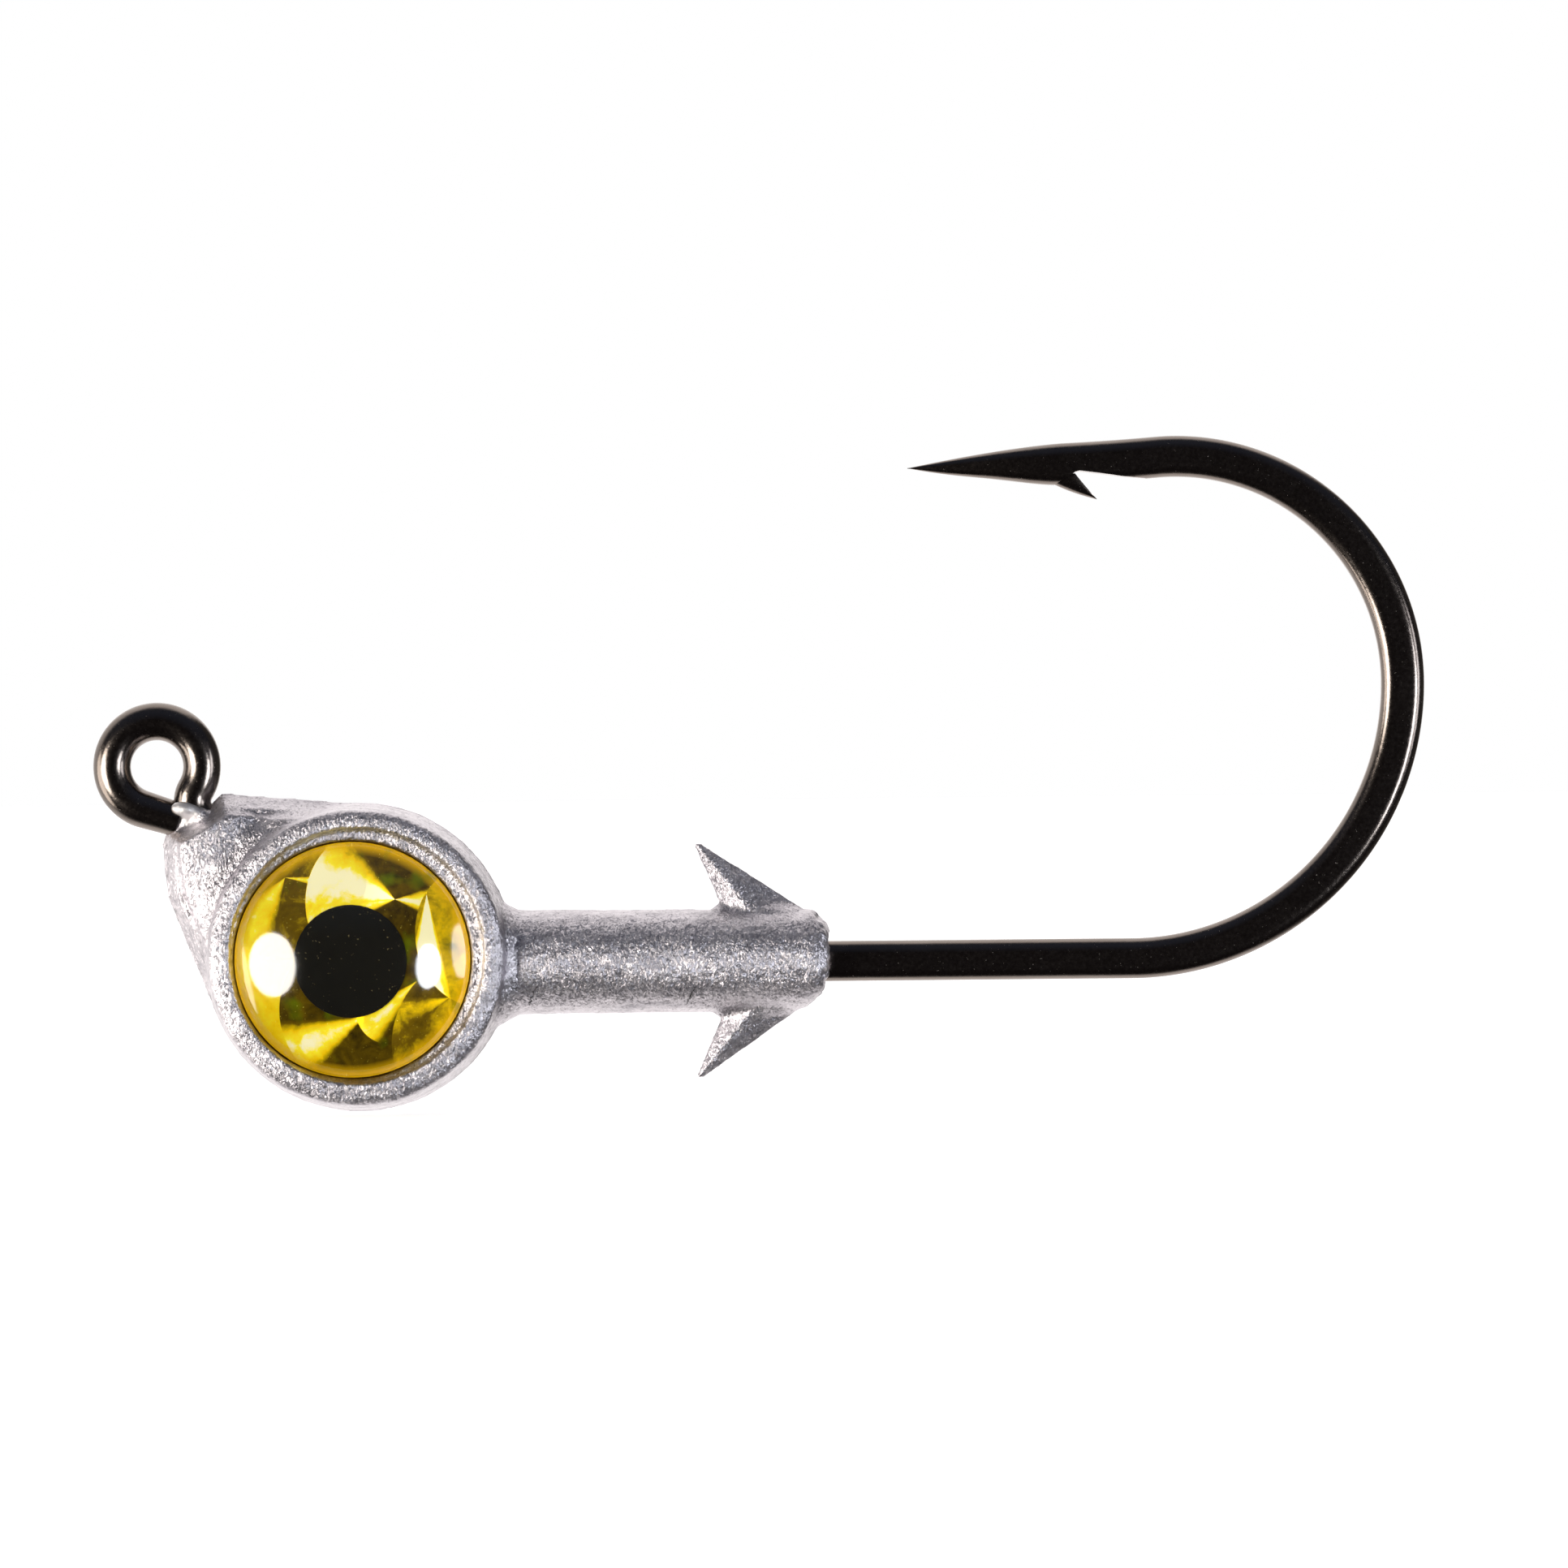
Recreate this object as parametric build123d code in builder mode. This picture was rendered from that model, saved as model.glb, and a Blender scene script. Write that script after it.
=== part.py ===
from build123d import *
import os
from math import asin, cos, degrees, radians, sin, tan

# Jig head for soft baits: a forged hook with a lead head cast round it, and a domed 3-D eye
# bonded into a cup on each side.
#
# Frame, in millimetres: the origin is the centre of the line eye. +X runs along the shank
# towards the bend, +Z is up towards the hook point, and Y is the thickness. The hook and the
# head are symmetrical about Y = 0, which is also the mould's parting plane. The left side of
# the lure faces -Y.

os.makedirs("parts", exist_ok=True)

# ---------------------------------------------------------------- driving dimensions

# Hook wire and line eye
WIRE_D = 1.45
ARM_D = 1.38
RING_MEAN_R = 1.73
LINE_HOLE_D = 2.08
ARM_ANGLE = 59.0
ARM_BEND_R = 2.2
SHANK_DROP = 7.72

# Forged shank, bend and spear: a flattened section, tallest in the plane of the hook
FORGED_H = 1.55
FORGED_T = 1.22
FORGED_CORNER = 0.48
FORGING_START_X = 9.0
FORGING_RUN = 2.5
BEND_START_X = 37.42
LOWER_BEND_R = 10.54
UPPER_BEND_R = 8.77
SPEAR_SLOPE = 3.4
POINT_START_X = 34.6
POINT_TIP_X = 28.95
POINT_TIP_Z = 11.19
POINT_TIP_SIZE = 0.12

# Hook barb, raised from the inner side of the spear
BARB_TIP = (36.24, 9.92)
BARB_NOTCH = (35.41, 10.99)
BARB_ROOT_X = 34.62
BARB_CUT_END = (37.90, 10.70)
BARB_T = 0.85

# Head: a round disc, drafted both ways from the parting plane
HEAD_X = 7.72
HEAD_Z = -7.39
HEAD_R = 5.93
RIM_R = 5.64
HEAD_HALF_T = 2.90
RIM_OUTER_ROUND = 0.28
CUP_LIP_ROUND = 0.10

# Eye cup in each face of the disc: a shallow drafted recess, and in its floor a close-fitting
# pocket for the eye, which sits a little lower and further forward than the recess
CUP_X = 7.75
CUP_Z = -7.29
CUP_R = 4.86
RECESS_DEPTH = 0.45
CUP_DRAFT = 3.5
POCKET_R = 4.55
POCKET_DEPTH = 1.0

# Nose, which carries the arm of the hook up to the line eye. Its face stands square to the arm
# and runs a little further up than down; its two flanks run out on the edge of the disc.
NOSE_FACE = 2.29
NOSE_FACE_UP = 1.05
NOSE_FACE_DOWN = 0.95
NOSE_TOP = (2.45, -1.06)
NOSE_CHIN_TOP = (0.18, -2.98)
NOSE_CHIN = (0.37, -5.01)
NOSE_TOP_RUNOUT = 93.5
NOSE_CHIN_RUNOUT = 202.0
NOSE_HALF_T = 1.75
NOSE_DRAFT = 24.0
NOSE_ROUND = 0.30

# Collar behind the head, which the soft bait is pushed onto
COLLAR_Z = -7.66
COLLAR_R = 2.00
COLLAR_END_R = 1.93
COLLAR_END_X = 25.67
COLLAR_END_ROUND = 0.55
COLLAR_START_X = 12.95
COLLAR_FLARE_R = 2.48
COLLAR_FLARE_END_X = 13.85

# Bait-keeper barbs, one above and one below the collar, swept back towards the head
KEEPER_TIP_X = 20.75
KEEPER_TIP_REACH = 4.48
KEEPER_TIP_R = 0.13
KEEPER_ROOT_FRONT_X = 22.0
UPPER_KEEPER_BACK_X = 25.8
LOWER_KEEPER_BACK_X = 25.4
KEEPER_ROOT_REACH = 1.30
KEEPER_ROOT_HALF_T = 0.85

# 3-D eye: adhesive, printed foil, pupil and clear dome, stacked outwards from the pocket floor
EYE_X = 7.56
EYE_Z = -7.45
EYE_R = 4.50
ADHESIVE_R = 4.42
ADHESIVE_T = 0.10
FOIL_T = 0.10
PUPIL_R = 2.0
PUPIL_T = 0.05
PUPIL_OFFSET = (-0.06, -0.05)
DOME_EDGE = 0.35
DOME_H = 1.85
DOME_EDGE_ROUND = 0.08

# ---------------------------------------------------------------- derived places

shank_z = -SHANK_DROP
arm_corner_x = SHANK_DROP / tan(radians(ARM_ANGLE))
bend_z = shank_z + LOWER_BEND_R
upper_bend_x = BEND_START_X + LOWER_BEND_R - UPPER_BEND_R
forging_end_x = FORGING_START_X + FORGING_RUN
pocket_floor = HEAD_HALF_T - POCKET_DEPTH


def finish(piece, node):
    """Label a finished piece and write it as its own STEP file."""
    piece.part.label = node
    export_step(piece.part, f"parts/{node}.step")


def section_plane(path, at):
    """The plane square to a path that lies in XZ, with its local x along the thickness."""
    return Plane(origin=path @ at, x_dir=(0, 1, 0), z_dir=path % at)


# ---------------------------------------------------------------- hook

# Centreline of the round wire: down the arm from the line eye, then round onto the shank.
arm_direction = Vector(arm_corner_x, 0, shank_z).normalized()
arm_start = arm_direction * RING_MEAN_R
with BuildLine(Plane.XZ) as arm_path:
    FilletPolyline(
        (arm_start.X, arm_start.Z),
        (arm_corner_x, shank_z),
        (FORGING_START_X, shank_z),
        radius=ARM_BEND_R,
    )

# Centreline of the forged wire: shank, two-radius bend, then the spear sloping to the barb.
with BuildLine(Plane.XZ) as forged_path:
    Line((forging_end_x, shank_z), (BEND_START_X, shank_z))
    CenterArc((BEND_START_X, bend_z), LOWER_BEND_R, 270, 90)
    throat = CenterArc((upper_bend_x, bend_z), UPPER_BEND_R, 0, 90 + SPEAR_SLOPE)
    spear_run = (throat @ 1).X - POINT_START_X
    spear_end_z = (throat @ 1).Z - spear_run * tan(radians(SPEAR_SLOPE))
    Line(((throat @ 1).X, (throat @ 1).Z), (POINT_START_X, spear_end_z))

arm_wire = arm_path.wires()[0]
forged_wire = forged_path.wires()[0]
point_axis = Vector(POINT_TIP_X, 0, POINT_TIP_Z) - forged_wire @ 1
point_plane = Plane(
    origin=(POINT_TIP_X, 0, POINT_TIP_Z), x_dir=(0, 1, 0), z_dir=point_axis.normalized()
)

with BuildPart() as hook:
    # Ring of the line eye
    with BuildSketch(Plane.XY):
        with Locations((RING_MEAN_R, 0)):
            Circle(WIRE_D / 2)
    revolve(axis=Axis.Y)

    # Round arm and its bend, inside the nose and the disc
    with BuildSketch(section_plane(arm_wire, 0)):
        Circle(ARM_D / 2)
    sweep(path=arm_wire)

    # The wire passes from round to forged inside the disc
    with BuildSketch(section_plane(arm_wire, 1)):
        Circle(ARM_D / 2)
    with BuildSketch(section_plane(forged_wire, 0)):
        RectangleRounded(FORGED_T, FORGED_H, FORGED_CORNER)
    loft()

    # Forged shank, bend and spear
    with BuildSketch(section_plane(forged_wire, 0)):
        RectangleRounded(FORGED_T, FORGED_H, FORGED_CORNER)
    sweep(path=forged_wire)

    # Needle point
    with BuildSketch(section_plane(forged_wire, 1)):
        RectangleRounded(FORGED_T, FORGED_H, FORGED_CORNER)
    with BuildSketch(point_plane):
        RectangleRounded(POINT_TIP_SIZE, POINT_TIP_SIZE, POINT_TIP_SIZE / 3)
    loft(ruled=True)

    # Barb: the wire is sliced from the throat side, and the slice is lifted out
    with BuildSketch(Plane.XZ):
        Polygon(
            BARB_NOTCH,
            BARB_TIP,
            (BARB_TIP[0], BARB_TIP[1] - WIRE_D),
            (BARB_CUT_END[0], BARB_TIP[1] - WIRE_D),
            BARB_CUT_END,
            align=None,
        )
    extrude(amount=WIRE_D, both=True, mode=Mode.SUBTRACT)
    with BuildSketch(Plane.XZ):
        Polygon(
            (BARB_ROOT_X, BARB_NOTCH[1]),
            (BARB_ROOT_X, spear_end_z - FORGED_H / 2),
            BARB_TIP,
            BARB_NOTCH,
            align=None,
        )
    extrude(amount=BARB_T / 2, both=True)

    # The line runs on a short straight land inside the ring
    with BuildSketch(Plane.XZ):
        Circle(LINE_HOLE_D / 2)
    extrude(amount=WIRE_D, both=True, mode=Mode.SUBTRACT)

finish(hook, "hook")

# ---------------------------------------------------------------- head casting


def keeper_barb(root_back_x):
    """A keeper barb above the collar: a cone swept back from an oval foot sunk in the collar."""
    with BuildPart() as barb:
        with BuildSketch(Plane.XY.offset(COLLAR_Z + KEEPER_ROOT_REACH)):
            with Locations(((KEEPER_ROOT_FRONT_X + root_back_x) / 2, 0)):
                Ellipse((root_back_x - KEEPER_ROOT_FRONT_X) / 2, KEEPER_ROOT_HALF_T)
        with BuildSketch(Plane.XY.offset(COLLAR_Z + KEEPER_TIP_REACH)):
            with Locations((KEEPER_TIP_X, 0)):
                Circle(KEEPER_TIP_R)
        loft(ruled=True)
    return barb.part


face_along = Vector(-arm_direction.Z, 0, arm_direction.X)
face_top = arm_direction * NOSE_FACE + face_along * NOSE_FACE_UP
face_bottom = arm_direction * NOSE_FACE - face_along * NOSE_FACE_DOWN


def on_disc_edge(angle):
    """A point on the widest circle of the disc, as (x, z), at an angle from +X towards +Z."""
    return (HEAD_X + HEAD_R * cos(radians(angle)), HEAD_Z + HEAD_R * sin(radians(angle)))


with BuildPart() as head_casting:
    # Disc, turned about the thickness axis
    with BuildSketch(Plane.XY.offset(HEAD_Z)):
        with Locations((HEAD_X, 0)):
            Polygon(
                (0, -HEAD_HALF_T),
                (RIM_R, -HEAD_HALF_T),
                (HEAD_R, 0),
                (RIM_R, HEAD_HALF_T),
                (0, HEAD_HALF_T),
                align=None,
            )
    revolve(axis=Axis((HEAD_X, 0, HEAD_Z), (0, 1, 0)))
    rims = head_casting.edges().filter_by(Plane.XZ).sort_by(Axis.Y)
    fillet([rims[0], rims[-1]], radius=RIM_OUTER_ROUND)

    # Nose, drafted from the parting plane and rounded at its corners
    with BuildSketch(Plane.XZ) as nose_outline:
        Polygon(
            NOSE_TOP,
            (face_top.X, face_top.Z),
            (face_bottom.X, face_bottom.Z),
            NOSE_CHIN_TOP,
            NOSE_CHIN,
            on_disc_edge(NOSE_CHIN_RUNOUT),
            (HEAD_X, HEAD_Z),
            on_disc_edge(NOSE_TOP_RUNOUT),
            align=None,
        )
        chin_and_brow = nose_outline.vertices().filter_by_position(Axis.X, 0, NOSE_CHIN[0])
        fillet(chin_and_brow, radius=NOSE_ROUND)
    extrude(amount=NOSE_HALF_T, both=True, taper=NOSE_DRAFT)

    # Collar, flared where it leaves the disc
    with BuildSketch(Plane.XZ):
        Polygon(
            (COLLAR_START_X, COLLAR_Z),
            (COLLAR_START_X, COLLAR_Z + COLLAR_FLARE_R),
            (COLLAR_FLARE_END_X, COLLAR_Z + COLLAR_R),
            (COLLAR_END_X, COLLAR_Z + COLLAR_END_R),
            (COLLAR_END_X, COLLAR_Z),
            align=None,
        )
    revolve(axis=Axis((0, 0, COLLAR_Z), (1, 0, 0)))
    collar_end = head_casting.edges().filter_by(GeomType.CIRCLE).sort_by(Axis.X)[-1]
    fillet(collar_end, radius=COLLAR_END_ROUND)

    # A barb above and a slightly slimmer one below, both cut off flush with the end of the collar
    add(keeper_barb(UPPER_KEEPER_BACK_X))
    mirror(keeper_barb(LOWER_KEEPER_BACK_X), about=Plane.XY.offset(COLLAR_Z))
    split(bisect_by=Plane.YZ.offset(COLLAR_END_X), keep=Keep.BOTTOM)

    # A stepped cup in each face for the 3-D eye
    for side in (-1, 1):
        with BuildSketch(Plane(origin=(CUP_X, side * HEAD_HALF_T, CUP_Z), z_dir=(0, -side, 0))):
            Circle(CUP_R)
        extrude(amount=RECESS_DEPTH, taper=CUP_DRAFT, mode=Mode.SUBTRACT)
        with BuildSketch(Plane(origin=(EYE_X, side * HEAD_HALF_T, EYE_Z), z_dir=(0, -side, 0))):
            Circle(POCKET_R)
        extrude(amount=POCKET_DEPTH, mode=Mode.SUBTRACT)
    rings = head_casting.edges().filter_by(GeomType.CIRCLE).filter_by(Plane.XZ).group_by(Axis.Y)
    cup_lips = [rings[0].sort_by(SortBy.RADIUS)[0], rings[-1].sort_by(SortBy.RADIUS)[0]]
    fillet(cup_lips, radius=CUP_LIP_ROUND)

    # The casting closes on the hook wire all round
    add(hook.part, mode=Mode.SUBTRACT)

finish(head_casting, "head_casting")

# ---------------------------------------------------------------- 3-D eyes

dome_sphere_r = (EYE_R**2 + (DOME_H - DOME_EDGE) ** 2) / (2 * (DOME_H - DOME_EDGE))
dome_half_angle = degrees(asin(EYE_R / dome_sphere_r))

for side_name, side in (("left", -1), ("right", 1)):
    seat = Plane(origin=(EYE_X, side * pocket_floor, EYE_Z), x_dir=(1, 0, 0), z_dir=(0, side, 0))
    pupil_place = (PUPIL_OFFSET[0], -side * PUPIL_OFFSET[1])

    with BuildPart() as adhesive:
        with BuildSketch(seat):
            Circle(ADHESIVE_R)
        extrude(amount=ADHESIVE_T)
    finish(adhesive, f"{side_name}_eye_adhesive")

    with BuildPart() as foil:
        with BuildSketch(seat.offset(ADHESIVE_T)):
            Circle(EYE_R)
        extrude(amount=FOIL_T)
    finish(foil, f"{side_name}_eye_foil")

    dome_base = seat.offset(ADHESIVE_T + FOIL_T)
    with BuildPart() as pupil:
        with BuildSketch(dome_base):
            with Locations(pupil_place):
                Circle(PUPIL_R)
        extrude(amount=PUPIL_T)
    finish(pupil, f"{side_name}_eye_pupil")

    dome_profile_plane = Plane(origin=dome_base.origin, x_dir=(1, 0, 0), z_dir=(0, 0, side))
    with BuildPart() as dome:
        with BuildSketch(dome_profile_plane):
            with BuildLine():
                Line((0, 0), (EYE_R, 0))
                Line((EYE_R, 0), (EYE_R, DOME_EDGE))
                CenterArc((0, DOME_H - dome_sphere_r), dome_sphere_r, 90 - dome_half_angle, dome_half_angle)
                Line((0, DOME_H), (0, 0))
            make_face()
        revolve(axis=Axis(dome_base.origin, (0, 1, 0)))
        lip = dome.edges().filter_by(Plane.XZ).sort_by(Axis.Y)[-1 if side > 0 else 0]
        fillet(lip, radius=DOME_EDGE_ROUND)
        add(pupil.part, mode=Mode.SUBTRACT)
    finish(dome, f"{side_name}_eye_dome")
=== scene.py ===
import math

import bmesh
import bpy
import numpy as np
from mathutils import Matrix, Vector, noise


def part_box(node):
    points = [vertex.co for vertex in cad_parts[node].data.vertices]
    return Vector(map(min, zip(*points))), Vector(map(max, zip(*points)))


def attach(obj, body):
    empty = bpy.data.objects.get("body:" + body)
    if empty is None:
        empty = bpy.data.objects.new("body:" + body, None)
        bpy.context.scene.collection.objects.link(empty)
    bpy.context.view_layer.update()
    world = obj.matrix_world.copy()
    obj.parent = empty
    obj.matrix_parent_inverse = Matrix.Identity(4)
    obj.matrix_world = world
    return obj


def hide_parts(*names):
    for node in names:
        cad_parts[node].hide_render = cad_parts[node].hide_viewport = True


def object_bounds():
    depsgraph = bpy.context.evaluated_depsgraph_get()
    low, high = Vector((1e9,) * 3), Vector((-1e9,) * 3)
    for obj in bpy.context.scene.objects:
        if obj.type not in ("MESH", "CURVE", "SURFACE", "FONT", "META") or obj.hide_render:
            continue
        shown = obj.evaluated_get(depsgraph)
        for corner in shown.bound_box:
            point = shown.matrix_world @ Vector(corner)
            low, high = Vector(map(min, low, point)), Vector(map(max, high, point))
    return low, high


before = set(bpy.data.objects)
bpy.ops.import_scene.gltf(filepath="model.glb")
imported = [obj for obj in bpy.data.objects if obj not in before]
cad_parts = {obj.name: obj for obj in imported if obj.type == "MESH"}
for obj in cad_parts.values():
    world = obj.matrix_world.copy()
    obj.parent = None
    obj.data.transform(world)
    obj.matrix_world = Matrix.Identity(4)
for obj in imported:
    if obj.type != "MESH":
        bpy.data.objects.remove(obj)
cad_low, cad_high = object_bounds()

# Jig head for soft baits. The frame is the CAD model's: the origin is the centre of the line eye,
# +X runs along the shank to the bend, +Z is up to the hook point, and the left side of the lure
# faces -Y. Meshes are built in millimetres, and add_piece() turns them into metres.

MM = 0.001
LEFT, RIGHT = -1, 1

# ---------------------------------------------------------------- sizes, in millimetres

# Hook wire: round in the line eye and the arm, forged flatter from inside the head to the point
WIRE_R = 0.725
RING_R = 1.73
ARM_ANGLE = 59.0
ARM_OFFSET = 0.33
NECK_R = 0.90
NECK_ALONG_ARM = 2.325
RING_END = 311.0
RING_TAIL = 1.45
ARM_BEND_R = 2.2
SHANK_Z = -7.72
FORGED_HALF_T = 0.61
FORGED_OUTER = 0.775
FORGED_CORNER = 0.50
BEND_X = 37.42
LOWER_BEND_R = 10.54
UPPER_BEND_R = 8.75
BEND_SWELL, SPEAR_SHRINK = 0.11, 0.08
SPEAR_ANGLE = 94.6
SPEAR_RUN = 3.2
SPEAR_SAG = (32.6, 11.23)
POINT_X = 28.95
POINT_Z = 11.19
TAPER_LENGTH = 6.05
TAPER_REACH, TAPER_THICK, TAPER_CORNER = 1.55, 0.9, 0.8
TIP_HALF = 0.012
TAIL_TUCK, TAIL_TUCK_LENGTH = 0.10, 0.3

# Stretch past the bend inside the head over which the wire turns from round to forged
FORGE_FROM, FORGE_TO = 1.2, 5.0

# The spear's inner side: the reach added near the point and near the barb's root, and how far from
# the point the first sets in, the second is reached, starts to fade and is gone
BELLY_THIN, BELLY_FULL = -0.10, 0.03
BELLY_STEPS = (3.0, 5.8, 7.0, 9.0)

# Hook barb, a sliver cut up from the inner side of the spear
BARB_ROOT = (34.35, 10.62)
BARB_TIP = (36.24, 9.92)
BARB_NOTCH = (35.41, 10.99)
BARB_CUT_END = (38.10, 10.72)
BARB_HALF_T = 0.42
BARB_TIP_HALF_T = 0.015
BARB_FREE_FROM = 0.45
BARB_LAST = 0.99
BARB_BURIED = (-0.9, 0.25)
BARB_LOW_BOW, BARB_HIGH_BOW = (-0.03, -0.05), (-0.05, -0.04)
BARB_CUT_REACH = 1.0

# Lead head. The collar and its two keepers are where the CAD has them.
HEAD_X, HEAD_Z, HEAD_R = 7.72, -7.39, 5.93
RIM_CREST_R, RIM_SLOPE = 4.8, 0.20
COLLAR_Z, COLLAR_END_X = -7.66, 25.67
COLLAR_LOW_CUT, COLLAR_HIGH_CUT, COLLAR_DIMPLE, COLLAR_LIFT = 0.36, 0.26, 0.16, 0.30
KEEPER_FRONT_X, KEEPER_BACK_X, KEEPER_TIP_X = 22.0, 25.8, 20.75
KEEPER_ROOT_REACH, KEEPER_TIP_REACH = 1.30, 4.48
KEEPER_TIP_HALF = 0.13
KEEPER_RIDGE, KEEPER_RIDGE_FULL = 0.32, 1.05
KEEPER_FRONT_EDGE, KEEPER_REAR_LOSS = 0.50, 0.88
KEEPER_WEB, KEEPER_WEB_SIZE, KEEPER_WEB_TILT = (21.72, 1.98), (0.58, 0.42, 0.24), 24
NOSE_CROWN, NOSE_CROWN_MOST = 0.11, 0.45
CHANNEL_R, CHANNEL_TOP_Z, CHANNEL_END_X = 0.9, -2.6, 25.3
SEAM_HEIGHT, SEAM_HALF_WIDTH = 0.030, 0.09

# Lead that crept over the line eye's joint: the middle, half sizes and tilt of each lump
FLASH_MIDDLE = (1.14, -0.60, -1.66)
FLASH_LUMPS = [
    (FLASH_MIDDLE, (0.60, 0.42, 0.31), -10),
    ((1.64, -0.57, -1.84), (0.46, 0.40, 0.32), -16),
    ((1.25, -0.25, -2.15), (0.80, 0.45, 0.40), 31),
]

# Grain of the cast skin: the scale, shift and height of each layer of noise
GRAIN_LAYERS = [
    (0.8, (0.0, 0.0, 0.0), 0.020),
    (2.6, (7.1, 3.3, 1.7), 0.012),
    (5.5, (1.3, 9.2, 4.1), 0.007),
]
GRAIN_SINK = -0.013

# Clear dome of the eye: its straight edge, the rounding below and above it, how far the rounding
# leans in at the top, and how far the dome is let into the foil
DOME_EDGE = 0.33
DOME_ROUND = 0.10
DOME_LEAN = 0.06
DOME_BURY = 0.02

# How far the pattern of the right eye's foil is turned from the left one's, in degrees
RIGHT_FOIL_TURN = 140

# Mesh sampling
WIRE_STEP = 0.10
CORNER_POINTS = 9
FLAT_POINTS = 3
LEAD_VOXEL = 0.10
WELD = 0.002


# ---------------------------------------------------------------- mesh helpers


def add_piece(name, mesh, material, replaced=()):
    """Turns a mesh in millimetres into a finished piece in metres, on the root body."""
    mesh.transform(Matrix.Scale(MM, 4))
    piece = bpy.data.objects.new(name, mesh)
    bpy.context.scene.collection.objects.link(piece)
    mesh.materials.clear()
    mesh.materials.append(material)
    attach(piece, "root")
    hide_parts(*replaced)
    return piece


def mesh_from(name, points, faces):
    """A mesh with outward normals from a list of points and a list of faces."""
    mesh = bpy.data.meshes.new(name)
    mesh.from_pydata([tuple(p) for p in points], [], faces)
    shape = bmesh.new()
    shape.from_mesh(mesh)
    bmesh.ops.recalc_face_normals(shape, faces=shape.faces)
    shape.to_mesh(mesh)
    shape.free()
    return mesh


def loft(name, rings):
    """A closed skin through rings of points, with a fan at each end."""
    count = len(rings[0])
    points = [p for ring in rings for p in ring]
    faces = []
    for i in range(len(rings) - 1):
        for j in range(count):
            k = (j + 1) % count
            faces.append((i * count + j, i * count + k, (i + 1) * count + k, (i + 1) * count + j))
    for first, ring in ((0, rings[0]), ((len(rings) - 1) * count, rings[-1])):
        centre = len(points)
        points.append(np.mean(np.array(ring), axis=0))
        faces += [(centre, first + j, first + (j + 1) % count) for j in range(count)]
    return mesh_from(name, points, faces)


def modified(mesh, *modifiers):
    """The mesh with modifiers applied. Each modifier is (type, {setting: value})."""
    holder = bpy.data.objects.new("holder", mesh)
    bpy.context.scene.collection.objects.link(holder)
    for kind, settings in modifiers:
        modifier = holder.modifiers.new(kind.title(), kind)
        for setting, value in settings.items():
            setattr(modifier, setting, value)
    depsgraph = bpy.context.evaluated_depsgraph_get()
    result = bpy.data.meshes.new_from_object(holder.evaluated_get(depsgraph))
    bpy.data.objects.remove(holder)
    return result


def combined(mesh, other, operation):
    """An exact boolean of two closed meshes."""
    tool = bpy.data.objects.new("tool", other)
    bpy.context.scene.collection.objects.link(tool)
    result = modified(mesh, ("BOOLEAN", {"object": tool, "operation": operation, "solver": "EXACT"}))
    bpy.data.objects.remove(tool)
    return result


def joined(*meshes):
    """Several meshes as one, without merging them."""
    shape = bmesh.new()
    for mesh in meshes:
        shape.from_mesh(mesh)
    result = bpy.data.meshes.new("joined")
    shape.to_mesh(result)
    shape.free()
    return result


def one_shell(mesh):
    """The mesh without collapsed faces, and without the small loose shells beside its largest one."""
    shape = bmesh.new()
    shape.from_mesh(mesh)
    bmesh.ops.remove_doubles(shape, verts=shape.verts, dist=WELD)
    bmesh.ops.dissolve_degenerate(shape, edges=shape.edges, dist=WELD / 2)
    unseen = set(shape.verts)
    shells = []
    for start in list(shape.verts):
        if start not in unseen:
            continue
        unseen.remove(start)
        shell = [start]
        for vertex in shell:
            for edge in vertex.link_edges:
                other = edge.other_vert(vertex)
                if other in unseen:
                    unseen.remove(other)
                    shell.append(other)
        shells.append(shell)
    shells.sort(key=len)
    loose = [vertex for shell in shells[:-1] for vertex in shell]
    bmesh.ops.delete(shape, geom=loose, context="VERTS")
    shape.to_mesh(mesh)
    shape.free()
    return mesh


# ---------------------------------------------------------------- hook


def arc(centre, radius, start, stop):
    """Points along an arc in the XZ plane, in degrees, WIRE_STEP apart."""
    length = abs(math.radians(stop - start)) * radius
    angles = np.radians(np.linspace(start, stop, max(2, round(length / WIRE_STEP) + 1)))
    return np.stack([centre[0] + radius * np.cos(angles), centre[1] + radius * np.sin(angles)], 1)


def segment(start, stop):
    """Points along a straight line, WIRE_STEP apart."""
    count = max(2, round(math.dist(start, stop) / WIRE_STEP) + 1)
    return np.linspace(start, stop, count)


def bezier(a, b, c, d):
    """Points along a cubic curve from a to d, about WIRE_STEP apart."""
    t = np.linspace(0, 1, round(math.dist(a, d) / WIRE_STEP) + 1)[:, None]
    a, b, c, d = map(np.array, (a, b, c, d))
    return (1 - t) ** 3 * a + 3 * (1 - t) ** 2 * t * b + 3 * (1 - t) * t**2 * c + t**3 * d


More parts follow.
